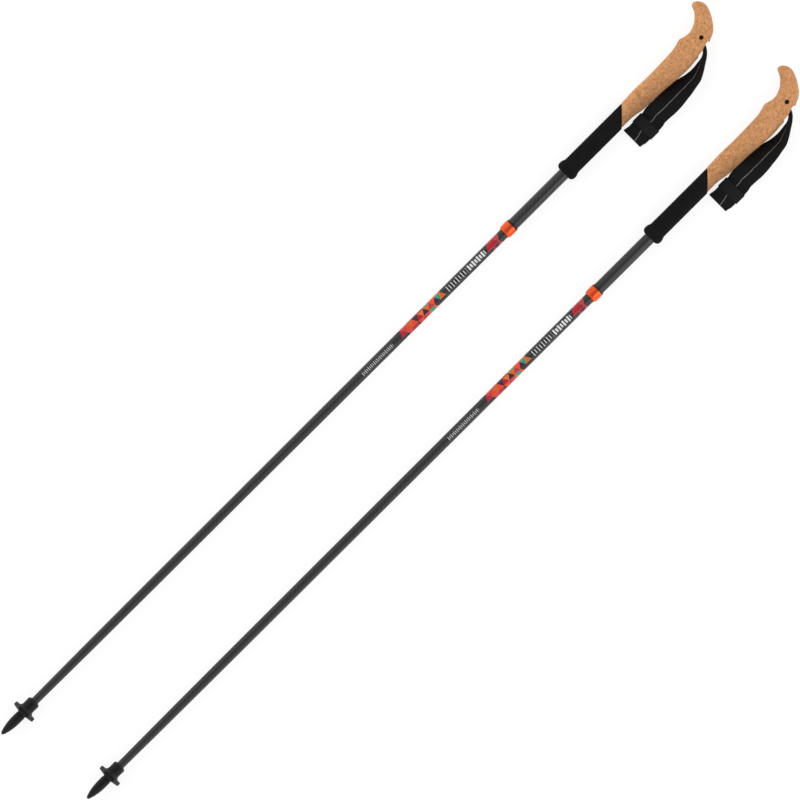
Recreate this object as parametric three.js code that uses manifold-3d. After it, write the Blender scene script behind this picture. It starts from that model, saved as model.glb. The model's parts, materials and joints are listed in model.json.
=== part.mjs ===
// A pair of two-section carbon trekking poles lying side by side, in millimetres, +Z up.
// Each pole lies along +X with its tip at -X, its hooked grip head turned to +Y
// and its wrist strap on the -Y side. The surface they lie on is z = 0.
import * as THREE from 'three';
import { mergeVertices } from 'three/addons/utils/BufferGeometryUtils.js';
import Module from 'manifold-3d';

const wasm = await Module();
wasm.setup();

// Driving dimensions. "Along" values run from the point of the tip towards the grip.
const LENGTH = 1318;
const POLE_SPACING = 137.8;
const POLE_STAGGER = 19.8;
const AXIS_HEIGHT = 14.5;
const HOOK_REACH = 39.3;
const GAP = 0.3;
const ROUND = 24;
const CUT_LENGTH = 60;

const UPPER_TUBE_R = 8.0;
const UPPER_TUBE_BORE = 7.3;
const LOWER_TUBE_R = 7.0;
const LOWER_TUBE_END_R = 5.25;
const LOWER_TUBE_WALL = 0.9;
const LOWER_TUBE_START = 32;
const LOWER_TUBE_TAPER_END = 850;
const LOWER_TUBE_TOP = 1000;
const UPPER_TUBE_TOP = 1268;

const TIP_BODY_R = 6.53;
const TIP_BODY_START = 5.2;
const TIP_BODY_END = 61.2;
const TIP_SOCKET_R = 5.7;
const TIP_SHANK_R = 1.6;
const TIP_SHANK_END = 19.7;
const BASKET_R = 16.65;
const BASKET_START = 37.3;
const HUB_END = 60.2;
const DRAIN_R = 1.5;
const DRAIN_CIRCLE_R = 11.9;

const COLLAR_START = 922;
const COLLAR_END = 939;
const COLLAR_MID_R = 9.55;
const COLLAR_END_R = 8.7;
const COLLAR_LIP = 1.4;
const BUSH_LENGTH = 7.6;
const UPPER_TUBE_START = COLLAR_START + COLLAR_LIP + BUSH_LENGTH + 2 * GAP;

const FOAM_START = 1032;
const FOAM_R = 11.93;
const FLARE_R = 14.1;
const JOINT_ALONG = 1137.8;
const JOINT_TILT = -0.775;

const PLUG_LENGTH = 10;
const PLUG_HEAD = 2.6;

const PIN_ALONG = 1282.7;
const PIN_Y = -0.8;
const PIN_R = 2.8;
const PIN_LENGTH = 25.6;
const SLOT_HEIGHT = 15.2;
const SLOT_HUB_R = 5.6;
const SLOT_REACH = 40;
const SLOT_ANGLES = [-2.45, -1.3];
const CORE_R = 9.3;
const CORE_START = 1160;
const CORE_END = 1289;

const WEBBING_WIDTH = 31.6;
const WEBBING_THICKNESS = 1.7;
const HEAD_WEBBING_WIDTH = 14;
const STRAP_LEVEL = -11.4;
const WEBBING_LOOP_R = 5.1;
const LEG_OVERLAP = 0.06;
const KEEPER_ALONG = 1151.2;
const KEEPER_Y = -31.6;
const KEEPER_LENGTH = 15.6;
const KEEPER_WIDTH = 34.2;
const KEEPER_WALL = 0.9;
const KEEPER_BORE_HALF = 2.1;

const COLOURS = {
  carbon: { color: 0x3d3d3f, roughness: 0.35, metalness: 0.1 },
  orange: { color: 0xe8531c, roughness: 0.25, metalness: 0.3 },
  foam: { color: 0x161616, roughness: 0.95, metalness: 0 },
  cork: { color: 0xc8915f, roughness: 0.85, metalness: 0 },
  plastic: { color: 0x262626, roughness: 0.5, metalness: 0 },
  webbing: { color: 0x1a1a1b, roughness: 0.9, metalness: 0 },
  steel: { color: 0x9a9c9e, roughness: 0.35, metalness: 1 },
};

// ---- solids -----------------------------------------------------------------

function toSolid(geometry) {
  const bare = geometry.clone();
  bare.deleteAttribute('normal');
  bare.deleteAttribute('uv');
  const merged = mergeVertices(bare, 1e-4);
  const index = merged.index.array;
  const triangles = [];
  for (let i = 0; i < index.length; i += 3) {
    const [a, b, c] = [index[i], index[i + 1], index[i + 2]];
    if (a !== b && b !== c && c !== a) triangles.push(a, b, c);
  }
  return new wasm.Manifold(new wasm.Mesh({
    numProp: 3,
    vertProperties: Float32Array.from(merged.attributes.position.array),
    triVerts: Uint32Array.from(triangles),
  }));
}

function toGeometry(solid) {
  const mesh = solid.getMesh();
  const geometry = new THREE.BufferGeometry();
  geometry.setAttribute('position', new THREE.BufferAttribute(mesh.vertProperties, 3));
  geometry.setIndex(new THREE.BufferAttribute(mesh.triVerts, 1));
  return geometry;
}

// A round body about the pole's axis. Each profile point is [along, radius]; the
// outside runs from the tip end to the grip end and the bore runs back again.
function turned(profile, closed = true) {
  const points = profile.map(([along, radius]) => new THREE.Vector2(radius, along));
  if (closed) points.push(points[0].clone());
  return new THREE.LatheGeometry(points, ROUND).rotateZ(-Math.PI / 2);
}

function turnedSolid(profile, closed = true) {
  return toSolid(turned(profile, closed));
}

// A ring of constant bore between two places along the pole.
function sleeve(start, end, outer, inner) {
  return turned([[start, inner], [start, outer], [end, outer], [end, inner]]);
}

// A prism with its outline in the XY plane, centred on z = 0.
function prism(shape, height, curveSegments = 16) {
  const geometry = new THREE.ExtrudeGeometry(shape, {
    depth: height, bevelEnabled: false, curveSegments,
  });
  return geometry.translate(0, 0, -height / 2);
}

// A closed skin through rings that all have the same number of points.
function loft(rings) {
  const count = rings[0].length;
  const positions = rings.flat().flatMap((p) => [p.x, p.y, p.z]);
  const index = [];
  for (let r = 0; r + 1 < rings.length; r += 1) {
    for (let i = 0; i < count; i += 1) {
      const a = r * count + i;
      const b = r * count + ((i + 1) % count);
      index.push(a, a + count, b, b, a + count, b + count);
    }
  }
  const last = (rings.length - 1) * count;
  for (let i = 1; i + 1 < count; i += 1) {
    index.push(0, i, i + 1);
    index.push(last, last + i + 1, last + i);
  }
  const geometry = new THREE.BufferGeometry();
  geometry.setAttribute('position', new THREE.Float32BufferAttribute(positions, 3));
  geometry.setIndex(index);
  return geometry;
}

// Smooth values between the rows of a table whose first column only rises.
function smoothRow(table, along) {
  let i = table.findIndex((row) => row[0] > along);
  if (i < 0) i = table.length - 1;
  i = Math.max(1, i);
  const rows = [table[Math.max(0, i - 2)], table[i - 1], table[i],
    table[Math.min(table.length - 1, i + 1)]];
  const span = rows[2][0] - rows[1][0];
  const f = (along - rows[1][0]) / span;
  return rows[1].map((value, column) => {
    const slopeIn = rows[2][0] === rows[0][0] ? 0
      : (rows[2][column] - rows[0][column]) / (rows[2][0] - rows[0][0]) * span;
    const slopeOut = rows[3][0] === rows[1][0] ? 0
      : (rows[3][column] - rows[1][column]) / (rows[3][0] - rows[1][0]) * span;
    const h = [2 * f ** 3 - 3 * f ** 2 + 1, f ** 3 - 2 * f ** 2 + f,
      -2 * f ** 3 + 3 * f ** 2, f ** 3 - f ** 2];
    return h[0] * value + h[1] * slopeIn + h[2] * rows[2][column] + h[3] * slopeOut;
  });
}

// ---- lower section ----------------------------------------------------------

// The lower tube's taper: [along, radius].
const TAPER = [
  [LOWER_TUBE_START, LOWER_TUBE_END_R], [70, 5.4], [122, 5.8], [174, 6.07], [278, 6.35],
  [434, 6.48], [590, 6.74], [720, 6.88], [LOWER_TUBE_TAPER_END, LOWER_TUBE_R],
  [LOWER_TUBE_TOP, LOWER_TUBE_R],
];

function lowerTube() {
  const boreR = LOWER_TUBE_R - LOWER_TUBE_WALL;
  const bore = [
    [LOWER_TUBE_TOP, boreR], [LOWER_TUBE_TAPER_END, boreR],
    [LOWER_TUBE_START, LOWER_TUBE_END_R - LOWER_TUBE_WALL],
  ];
  return turned([...TAPER, ...bore]);
}

function tipFerrule() {
  const shankHole = TIP_SHANK_R + GAP;
  const shankHoleEnd = TIP_SHANK_END + GAP;
  return turned([
    [shankHoleEnd, 0], [shankHoleEnd, shankHole], [TIP_BODY_START, shankHole],
    [TIP_BODY_START, 3.55], [9, 4.6], [14, 5.6], [19, 6.2],
    [24, TIP_BODY_R], [TIP_BODY_END - 1.5, TIP_BODY_R], [TIP_BODY_END, 6.05],
    [TIP_BODY_END, TIP_SOCKET_R], [LOWER_TUBE_START - GAP, TIP_SOCKET_R],
    [LOWER_TUBE_START - GAP, 0],
  ], false);
}

function carbideTip() {
  const back = TIP_BODY_START - GAP;
  return turned([
    [0.5, 0], [0, 1.1], [1.2, 1.9], [2.6, 2.65], [4, 3.4], [back, 3.5],
    [back, TIP_SHANK_R], [TIP_SHANK_END, TIP_SHANK_R], [TIP_SHANK_END, 0],
  ], false);
}

// A shallow cup with a hexagonal rim on a round hub. Two rim flats are level, so
// the lower one lies on the ground.
function basket() {
  const bore = TIP_BODY_R + GAP;
  const body = turnedSolid([
    [HUB_END - 1.2, bore], [BASKET_START + 0.2, bore], [BASKET_START, 8.2], [38.2, 13.8],
    [38.7, 16], [39.4, BASKET_R], [42.2, BASKET_R], [43.2, 15.7], [44.3, 13.6], [45.5, 11],
    [46.8, 9.4], [48.2, 8.7], [58.8, 9.0], [HUB_END, 7.7],
  ]);
  const sixth = Math.PI / 3;
  const cornerR = AXIS_HEIGHT / Math.cos(sixth / 2);
  const corners = [];
  for (let i = 0; i < 6; i += 1) {
    corners.push(new THREE.Vector2(Math.cos(i * sixth), Math.sin(i * sixth))
      .multiplyScalar(cornerR));
  }
  const middle = (BASKET_START + HUB_END) / 2;
  const rim = prism(new THREE.Shape(corners), CUT_LENGTH).rotateY(Math.PI / 2).rotateX(Math.PI / 2)
    .translate(middle, 0, 0);
  let solid = body.intersect(toSolid(rim));
  for (let i = 0; i < 6; i += 1) {
    const angle = (i + 0.5) * sixth;
    const drain = new THREE.CylinderGeometry(DRAIN_R, DRAIN_R, CUT_LENGTH, 8).rotateZ(Math.PI / 2)
      .translate(BASKET_START, DRAIN_CIRCLE_R * Math.cos(angle), DRAIN_CIRCLE_R * Math.sin(angle));
    solid = solid.subtract(toSolid(drain));
  }
  return toGeometry(solid);
}

// ---- twist lock inside the upper tube ---------------------------------------

const STUD_R = 2.5;
const STUD_PLUG_LENGTH = 18;
const STUD_FLANGE = 3;
const EXPANDER_START = LOWER_TUBE_TOP + 5;
const EXPANDER_END = EXPANDER_START + 32;
const EXPANDER_SPLIT = 1.2;
const CONE_START = EXPANDER_END - 20;
const CONE_SMALL_R = 3.3;
const CONE_LARGE_R = 5.2;
const CONE_SHORTER = 2;
const CONE_HEAD = 5;
const STOP_RING_START = EXPANDER_END + 13;
const STOP_RING_R = 4.6;
const STOP_RING_WIDTH = 2;
const STUD_END = STOP_RING_START + STOP_RING_WIDTH + 1;

function lockStud() {
  const plugStart = LOWER_TUBE_TOP - STUD_PLUG_LENGTH;
  const plugR = LOWER_TUBE_R - LOWER_TUBE_WALL - GAP;
  const flange = LOWER_TUBE_TOP + GAP;
  return turned([
    [plugStart, 0], [plugStart, plugR], [flange, plugR], [flange, LOWER_TUBE_R],
    [flange + STUD_FLANGE, LOWER_TUBE_R], [flange + STUD_FLANGE, STUD_R], [STUD_END, STUD_R],
    [STUD_END, 0],
  ], false);
}

function coneRadius(along) {
  const part = (along - CONE_START) / (EXPANDER_END - CONE_START);
  return CONE_SMALL_R + (CONE_LARGE_R - CONE_SMALL_R) * part;
}

function expanderSleeve() {
  const ring = turnedSolid([
    [EXPANDER_START, STUD_R + GAP], [EXPANDER_START, UPPER_TUBE_BORE - GAP],
    [EXPANDER_END, UPPER_TUBE_BORE - GAP], [EXPANDER_END, CONE_LARGE_R + GAP],
    [CONE_START, CONE_SMALL_R + GAP], [CONE_START, STUD_R + GAP],
  ]);
  const middle = (EXPANDER_START + EXPANDER_END) / 2;
  const split = new THREE.BoxGeometry(CUT_LENGTH, EXPANDER_SPLIT, CUT_LENGTH)
    .translate(middle, 0, CUT_LENGTH / 2);
  return toGeometry(ring.subtract(toSolid(split)));
}

function coneNut() {
  const start = CONE_START + CONE_SHORTER;
  const end = EXPANDER_END + CONE_HEAD;
  return turned([
    [start, STUD_R + GAP], [start, coneRadius(start)], [EXPANDER_END, CONE_LARGE_R],
    [end, CONE_LARGE_R], [end, STUD_R + GAP],
  ]);
}

function stopRing() {
  const end = STOP_RING_START + STOP_RING_WIDTH;
  return sleeve(STOP_RING_START, end, STOP_RING_R, STUD_R + GAP);
}

// ---- upper section ----------------------------------------------------------

function upperTube() {
  return sleeve(UPPER_TUBE_START, UPPER_TUBE_TOP, UPPER_TUBE_R, UPPER_TUBE_BORE);
}

function endCollar() {
  const middle = (COLLAR_START + COLLAR_END) / 2;
  const shoulder = 1.6;
  const shoulderR = COLLAR_END_R + 0.35;
  const flat = 3.4;
  const mouth = UPPER_TUBE_BORE + 0.1;
  return turned([
    [COLLAR_START, mouth], [COLLAR_START, COLLAR_END_R], [COLLAR_START + shoulder, shoulderR],
    [middle - flat, COLLAR_MID_R], [middle + flat, COLLAR_MID_R],
    [COLLAR_END - shoulder, shoulderR], [COLLAR_END, COLLAR_END_R],
    [COLLAR_END, UPPER_TUBE_R + GAP], [COLLAR_START + COLLAR_LIP, UPPER_TUBE_R + GAP],
    [COLLAR_START + COLLAR_LIP, mouth],
  ]);
}

function guideBush() {
  const start = COLLAR_START + COLLAR_LIP + GAP;
  return sleeve(start, start + BUSH_LENGTH, UPPER_TUBE_R, UPPER_TUBE_BORE);
}

function topPlug() {
  const start = UPPER_TUBE_TOP - PLUG_LENGTH;
  const head = UPPER_TUBE_TOP + GAP;
  const end = UPPER_TUBE_TOP + PLUG_HEAD;
  return turned([
    [start, 0], [start, UPPER_TUBE_BORE - GAP], [head, UPPER_TUBE_BORE - GAP],
    [head, UPPER_TUBE_R], [end, UPPER_TUBE_R], [end, 0],
  ], false);
}

// Everything on the grip side of the slanting seam between foam and cork.
function gripSide(offset) {
  const size = LENGTH;
  const block = new THREE.BoxGeometry(size, size, size).translate(size / 2 + offset, 0, 0)
    .rotateZ(JOINT_TILT).translate(JOINT_ALONG, 0, 0);
  return toSolid(block);
}

function foamSleeve() {
  const blank = turnedSolid([
    [FOAM_START, UPPER_TUBE_R + GAP], [FOAM_START, 9.4], [FOAM_START + 1.1, 11.8],
    [FOAM_START + 2.4, 13], [FOAM_START + 4, 13.75], [FOAM_START + 6.6, FLARE_R],
    [FOAM_START + 8.6, 13.95], [FOAM_START + 11, 13.3], [FOAM_START + 13, 12.4],
    [FOAM_START + 15, FOAM_R], [JOINT_ALONG + 20, FOAM_R], [JOINT_ALONG + 20, UPPER_TUBE_R + GAP],
  ]);
  return toGeometry(blank.subtract(gripSide(-GAP / 2)));
}

const GRIP_START = 1119;
const GRIP_STEP = 7;
const HEAD_START = 1287;
const HEAD_STEP = 3.4;
const HEAD_TOP = 1316.8;
const GRIP_SIDES = 20;
const GRIP_SQUARENESS = 2 / 2.25;

// The grip's outline: [along, hook side, palm side, half thickness].
const GRIP_OUTLINE = [
  [1118, 11.9, -10.6, 11.9], [1148, 12.3, -11.2, 12.2], [1162, 12.8, -13.5, 12.6],
  [1176, 13.2, -14.2, 12.9], [1198, 12.6, -14.9, 13.4], [1211, 12.7, -15.9, 13.8],
  [1224, 13.0, -17.1, 14.0], [1235, 13.4, -17.8, 14.1], [1245, 14.0, -18.0, 14.1],
  [1255, 16.4, -17.0, 13.9], [1260.6, 17.8, -16.6, 13.8], [1267, 16.1, -16.8, 13.6],
  [1273, 14.8, -15.9, 13.4], [1279, 15.2, -13.6, 13.3], [1283, 16.3, -12.6, 13.2],
  [1286.6, 17.6, -12.4, 13.1], [1291, 20.4, -10.4, 12.9], [1296, 24.4, -8.2, 12.5],
  [1300, 29.2, -5.8, 11.9], [1303, 36.0, -3.2, 11.3], [1307.5, HOOK_REACH, 3.4, 10.0],
  [1312.6, 37.1, 10.0, 7.6], [1315.4, 33.4, 16.8, 5.0], [1317.2, 27.4, 20.8, 2.6],
  [LENGTH, 24.6, 22.4, 0.8],
];

// One ring of the grip's skin: nearly an ellipse, with slightly fuller corners.
function gripRing(along) {
  const [, hook, palm, half] = smoothRow(GRIP_OUTLINE, along);
  const ring = [];
  for (let i = 0; i < GRIP_SIDES; i += 1) {
    const angle = -2 * Math.PI * i / GRIP_SIDES;
    const [c, s] = [Math.cos(angle), Math.sin(angle)];
    const y = Math.sign(c) * Math.abs(c) ** GRIP_SQUARENESS;
    const z = Math.sign(s) * Math.abs(s) ** GRIP_SQUARENESS;
    ring.push(new THREE.Vector3(along, (hook + palm) / 2 + y * (hook - palm) / 2, z * half));
  }
  return ring;
}

// The fan of directions that the strap's stem can take about its pin.
function strapFan() {
  const fan = new THREE.Shape();
  const [first, last] = SLOT_ANGLES;
  const steps = 6;
  fan.moveTo(PIN_ALONG, PIN_Y);
  for (let i = 0; i <= steps; i += 1) {
    const angle = first + (last - first) * i / steps;
    const x = PIN_ALONG + SLOT_REACH * Math.cos(angle);
    const y = PIN_Y + SLOT_REACH * Math.sin(angle);
    fan.lineTo(x, y);
  }
  fan.closePath();
  return toSolid(prism(fan, SLOT_HEIGHT)).add(toSolid(aroundPin(SLOT_HUB_R, SLOT_HEIGHT)));
}

// An upright cylinder centred on the strap pin.
function aroundPin(radius, height) {
  return new THREE.CylinderGeometry(radius, radius, height, ROUND).rotateX(Math.PI / 2)
    .translate(PIN_ALONG, PIN_Y, 0);
}

function pinHole() {
  return toSolid(aroundPin(PIN_R + GAP, CUT_LENGTH));
}

function corkGrip() {
  const stations = [];
  for (let along = GRIP_START; along < HEAD_START; along += GRIP_STEP) stations.push(along);
  for (let along = HEAD_START; along < HEAD_TOP; along += HEAD_STEP) stations.push(along);
  stations.push(HEAD_TOP, LENGTH);
  const blank = toSolid(loft(stations.map(gripRing)));
  const core = turnedSolid([
    [FOAM_START, 0], [FOAM_START, CORE_R + GAP], [CORE_END + GAP, CORE_R + GAP],
    [CORE_END + GAP, 0],
  ], false);
  const solid = blank.intersect(gripSide(GAP / 2)).subtract(core).subtract(strapFan())
    .subtract(pinHole());
  return toGeometry(solid);
}

// The moulded core that the cork is formed on: it holds the tube, pin and strap.
function gripCore() {
  const socket = UPPER_TUBE_R + GAP;
  const socketEnd = UPPER_TUBE_TOP + PLUG_HEAD + GAP;
  const blank = turnedSolid([
    [socketEnd, 0], [socketEnd, socket], [CORE_START, socket],
    [CORE_START, CORE_R], [CORE_END, CORE_R], [CORE_END, 0],
  ], false);
  return toGeometry(blank.subtract(strapFan()).subtract(pinHole()));
}

function strapPin() {
  return aroundPin(PIN_R, PIN_LENGTH);
}

// ---- strap ------------------------------------------------------------------

// The webbing's middle line from the slot to its far fold: [order along the path, along, y, z,
// width, twist from upright in degrees, gap between the two legs]. Past the grip head the
// webbing's lower edge rests on the ground.
const STRAP_PATH = [
  [0, 1281.0, -4.4, 0, HEAD_WEBBING_WIDTH, 0, 0],
  [1, 1276.2, -14.0, 0, HEAD_WEBBING_WIDTH, 7, 0],
  [2, 1268.3, -21.2, -0.2, 16, 12, 0],
  [3, 1257.0, -25.8, -0.9, 22.5, 22.5, 0],
  [4, 1248.9, -28.6, -0.9, 27, 28.5, 0],
  [5, 1241.0, -30.4, -0.6, 30, 35, 0.2],
  [6, 1233.0, -30.8, -0.9, WEBBING_WIDTH, 39, 0.3],
  [7, 1222.0, -30.5, -2.3, WEBBING_WIDTH, 52.5, 0.9],
  [8, 1213.0, -30.5, -3.2, WEBBING_WIDTH, 58, 1.8],
  [9, 1202.0, -30.6, -4.6, WEBBING_WIDTH, 68, 3.8],
  [10, 1193.0, -30.5, -6.0, WEBBING_WIDTH, 76, 5.2],
  [11, 1184.0, -30.3, -8.6, WEBBING_WIDTH, 89, 7.4],
  [12, 1170.5, -30.0, -9.3, WEBBING_WIDTH, 90, 6.2],
  [13, 1162.5, KEEPER_Y, STRAP_LEVEL, WEBBING_WIDTH, 90, 0.2],
  [14, 1142.0, KEEPER_Y, STRAP_LEVEL, WEBBING_WIDTH, 90, 0.2],
  [15, 1128.6, -31.4, STRAP_LEVEL, WEBBING_WIDTH, 90, 0.2],
];

function strapFrame(order) {
  const [, along, y, z, width, twist, gap] = smoothRow(STRAP_PATH, order);
  const step = 0.05;
  const [, x0, y0] = smoothRow(STRAP_PATH, Math.max(0, order - step));
  const [, x1, y1] = smoothRow(STRAP_PATH, Math.min(STRAP_PATH.length - 1, order + step));
  const run = new THREE.Vector3(x1 - x0, y1 - y0, 0).normalize();
  const up = new THREE.Vector3(0, 0, 1);
  const out = new THREE.Vector3().crossVectors(up, run);
  const angle = twist * Math.PI / 180;
  const across = up.clone().multiplyScalar(Math.cos(angle)).addScaledVector(out, Math.sin(angle));
  const face = new THREE.Vector3().crossVectors(across, run);
  return { centre: new THREE.Vector3(along, y, z), run, across, face, width, gap };
}

// One leg of the webbing, on the side of the middle line that "side" names.
function strapLeg(side) {
  const rings = [];
  const steps = 2 * (STRAP_PATH.length - 1);
  for (let i = 0; i <= steps; i += 1) {
    const order = i / 2;
    const { centre, across, face, width, gap } = strapFrame(order);
    const inner = gap / 2 - LEG_OVERLAP;
    const outer = gap / 2 + WEBBING_THICKNESS;
    const corner = (a, f) => centre.clone().addScaledVector(across, a * width / 2)
      .addScaledVector(face, side * f);
    const ring = [corner(-1, inner), corner(1, inner), corner(1, outer), corner(-1, outer)];
    rings.push(side > 0 ? ring : ring.reverse());
  }
  return toSolid(loft(rings));
}

function wristStrap() {
  const end = strapFrame(STRAP_PATH.length - 1);
  const foldR = end.gap / 2 + WEBBING_THICKNESS;
  const fold = new THREE.CylinderGeometry(foldR, foldR, end.width, 16)
    .translate(end.centre.x, end.centre.y, end.centre.z);
  const loop = aroundPin(WEBBING_LOOP_R, HEAD_WEBBING_WIDTH);
  return toGeometry(strapLeg(1).add(strapLeg(-1)).add(toSolid(fold)).add(toSolid(loop))
    .subtract(pinHole()));
}

function strapKeeper() {
  const outer = KEEPER_BORE_HALF + KEEPER_WALL;
  const box = (width, half, length) => toSolid(new THREE.BoxGeometry(length, width, 2 * half)
    .translate(KEEPER_ALONG, KEEPER_Y, STRAP_LEVEL));
  const bore = box(KEEPER_WIDTH - 2 * KEEPER_WALL, KEEPER_BORE_HALF, KEEPER_LENGTH * 2);
  return toGeometry(box(KEEPER_WIDTH, outer, KEEPER_LENGTH).subtract(bore));
}

// ---- assembly ---------------------------------------------------------------

const PIECES = [
  ['upper_tube', 'carbon', upperTube],
  ['end_collar', 'orange', endCollar],
  ['guide_bush', 'plastic', guideBush],
  ['foam_sleeve', 'foam', foamSleeve],
  ['cork_grip', 'cork', corkGrip],
  ['grip_core', 'plastic', gripCore],
  ['top_plug', 'plastic', topPlug],
  ['strap_pin', 'plastic', strapPin],
  ['wrist_strap', 'webbing', wristStrap],
  ['strap_keeper', 'webbing', strapKeeper],
  ['lower_tube', 'carbon', lowerTube],
  ['lock_stud', 'steel', lockStud],
  ['expander_sleeve', 'plastic', expanderSleeve],
  ['cone_nut', 'plastic', coneNut],
  ['stop_ring', 'steel', stopRing],
  ['tip_ferrule', 'plastic', tipFerrule],
  ['carbide_tip', 'steel', carbideTip],
  ['basket', 'plastic', basket],
];

function pole(prefix) {
  const group = new THREE.Group();
  for (const [name, colour, make] of PIECES) {
    const mesh = new THREE.Mesh(make(), new THREE.MeshStandardMaterial(COLOURS[colour]));
    mesh.name = `${prefix}_${name}`;
    group.add(mesh);
  }
  return group;
}

const STRAP_REACH = KEEPER_WIDTH / 2 - KEEPER_Y;

const pair = new THREE.Group();
const halfRun = (LENGTH + POLE_STAGGER) / 2;
const middleY = (HOOK_REACH - STRAP_REACH - POLE_SPACING) / 2;
const poleA = pole('a');
poleA.position.set(-halfRun, -middleY, AXIS_HEIGHT);
const poleB = pole('b');
poleB.position.set(POLE_STAGGER - halfRun, -middleY - POLE_SPACING, AXIS_HEIGHT);
pair.add(poleA, poleB);

export default pair;
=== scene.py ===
"""The looks of a pair of carbon trekking poles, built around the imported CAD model.

Lengths in the tables and constants are millimetres in a pole's own frame: "along" runs from the
point of the tip towards the grip, +y is the side that the grip's hooked head points to, -y is the
palm side with the wrist strap, and z = 0 is the pole's axis.
"""

import json
import math

import bmesh
import bpy
import numpy as np
from mathutils import Matrix, Vector


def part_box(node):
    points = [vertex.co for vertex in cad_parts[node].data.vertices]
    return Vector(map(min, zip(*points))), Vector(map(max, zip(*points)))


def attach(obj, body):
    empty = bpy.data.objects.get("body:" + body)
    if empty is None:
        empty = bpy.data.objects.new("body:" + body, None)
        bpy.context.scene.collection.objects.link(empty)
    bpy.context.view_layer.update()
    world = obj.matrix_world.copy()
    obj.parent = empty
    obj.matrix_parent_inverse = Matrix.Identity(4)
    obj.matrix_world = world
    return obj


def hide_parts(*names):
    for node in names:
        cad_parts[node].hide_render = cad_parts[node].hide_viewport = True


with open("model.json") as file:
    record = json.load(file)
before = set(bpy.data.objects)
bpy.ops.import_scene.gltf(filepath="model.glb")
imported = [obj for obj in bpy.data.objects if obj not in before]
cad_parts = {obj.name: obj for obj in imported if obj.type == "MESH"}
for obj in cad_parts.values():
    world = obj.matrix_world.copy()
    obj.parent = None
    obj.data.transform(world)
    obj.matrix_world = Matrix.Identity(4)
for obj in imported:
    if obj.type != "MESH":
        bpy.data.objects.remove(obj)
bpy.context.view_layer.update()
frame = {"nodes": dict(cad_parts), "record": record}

MM = 0.001
POLES = ("a", "b")
ROUND = 96
SMOOTH_ANGLE = math.radians(36)

BEHAVIOUR = frame["record"]["behaviour"]
BODY_OF = {node: body for body, nodes in BEHAVIOUR["bodies"].items() for node in nodes}
SLOT_OF = {row["node"]: row["material_slot"] for row in frame["record"]["subparts"]}


# ---- where things are, from the frame ---------------------------------------


def pole_origin(pole):
    """The point of a pole's tip, on its axis, in the row frame."""
    low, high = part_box(f"{pole}_lower_tube")
    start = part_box(f"{pole}_carbide_tip")[0].x
    return Vector((start, (low.y + high.y) / 2, (low.z + high.z) / 2))


ORIGIN = {pole: pole_origin(pole) for pole in POLES}


def local_box(part):
    """A part's lowest and highest corner in its pole's frame, in millimetres."""
    low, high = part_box(f"a_{part}")
    return (low - ORIGIN["a"]) / MM, (high - ORIGIN["a"]) / MM


def span(part):
    """Where a round part starts and ends along its pole, and its greatest radius."""
    low, high = local_box(part)
    return low.x, high.x, (high.z - low.z) / 2


# ---- camera, light and floor ------------------------------------------------


def add_object(name, data):
    thing = bpy.data.objects.new(name, data)
    bpy.context.scene.collection.objects.link(thing)
    return thing


VIEW_WIDTH = 1.040
VIEW_CENTRE = (0.0044, 0.01565)
CAMERA_HEIGHT = 12.0
CAMERA_TURN = math.radians(-44.9)


def add_camera():
    data = bpy.data.cameras.new("camera")
    data.sensor_width = 36
    data.lens = data.sensor_width * (CAMERA_HEIGHT - ORIGIN["a"].z) / VIEW_WIDTH
    data.clip_end = 100
    camera = add_object("camera", data)
    camera.location = (*VIEW_CENTRE, CAMERA_HEIGHT)
    camera.rotation_euler = (0, 0, CAMERA_TURN)
    bpy.context.scene.camera = camera


# Soft panels: (name, side, place along X, distance, elevation in degrees, size, radiance, whether
# gloss shows it).
PANELS = [
    ("fill_panel", 1, 0.0, 3.0, 40, 2.4, 1.0, False),
    ("grip_panel", -1, 0.55, 1.3, 44, 0.7, 1.5, True),
]


def add_panels():
    """Large soft panels beside the poles that the camera doesn't see."""
    for name, side, x, distance, elevation, size, radiance, glossy in PANELS:
        data = bpy.data.lights.new(name, "AREA")
        data.size = size
        data.energy = radiance * math.pi * size ** 2
        panel = add_object(name, data)
        tilt = math.radians(elevation)
        panel.location = (x, side * distance * math.cos(tilt), distance * math.sin(tilt))
        panel.rotation_euler = (side * (tilt - math.pi / 2), 0, 0)
        panel.visible_camera = False
        panel.visible_glossy = glossy


# The floor gives light of its own. What the camera sees of it is darker and glows more than what
# lights the poles, so that the shadows on it stay as faint as on a lit backdrop.
FLOOR_GLOW = 0.2
FLOOR_SHADOW_FILL = 0.6
FLOOR_LIT = (0.9, 0.9, 0.9)
FLOOR_SEEN = (0.25, 0.25, 0.25)
FLOOR_HALF = 60


def add_floor():
    shader = Shader("floor")
    shader.set(Roughness=0.9, Specular_IOR_Level=0.1, Emission_Color=(1, 1, 1))
    seen = shader.node("ShaderNodeLightPath").outputs["Is Camera Ray"]
    glow = shader.add(shader.times(seen, FLOOR_SHADOW_FILL), FLOOR_GLOW)
    shader.feed("Base Color", shader.mix(seen, FLOOR_LIT, FLOOR_SEEN))
    shader.feed("Emission Strength", glow)
    signs = ((-1, -1), (1, -1), (1, 1), (-1, 1))
    mesh = bpy.data.meshes.new("floor")
    mesh.from_pydata([(x * FLOOR_HALF, y * FLOOR_HALF, 0) for x, y in signs], [], [(0, 1, 2, 3)])
    mesh.materials.append(shader.material)
    floor = add_object("floor", mesh)


# The studio's light by height above the floor: (sine of the elevation, radiance). Large soft
# boxes stand all round and leave a dimmer patch overhead.
SKY = [(0.0, 1.12), (0.24, 1.15), (0.60, 1.06), (0.80, 0.84), (0.92, 0.48), (1.0, 0.30)]
PALM_SIDE_BOOST = 0.08


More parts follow.
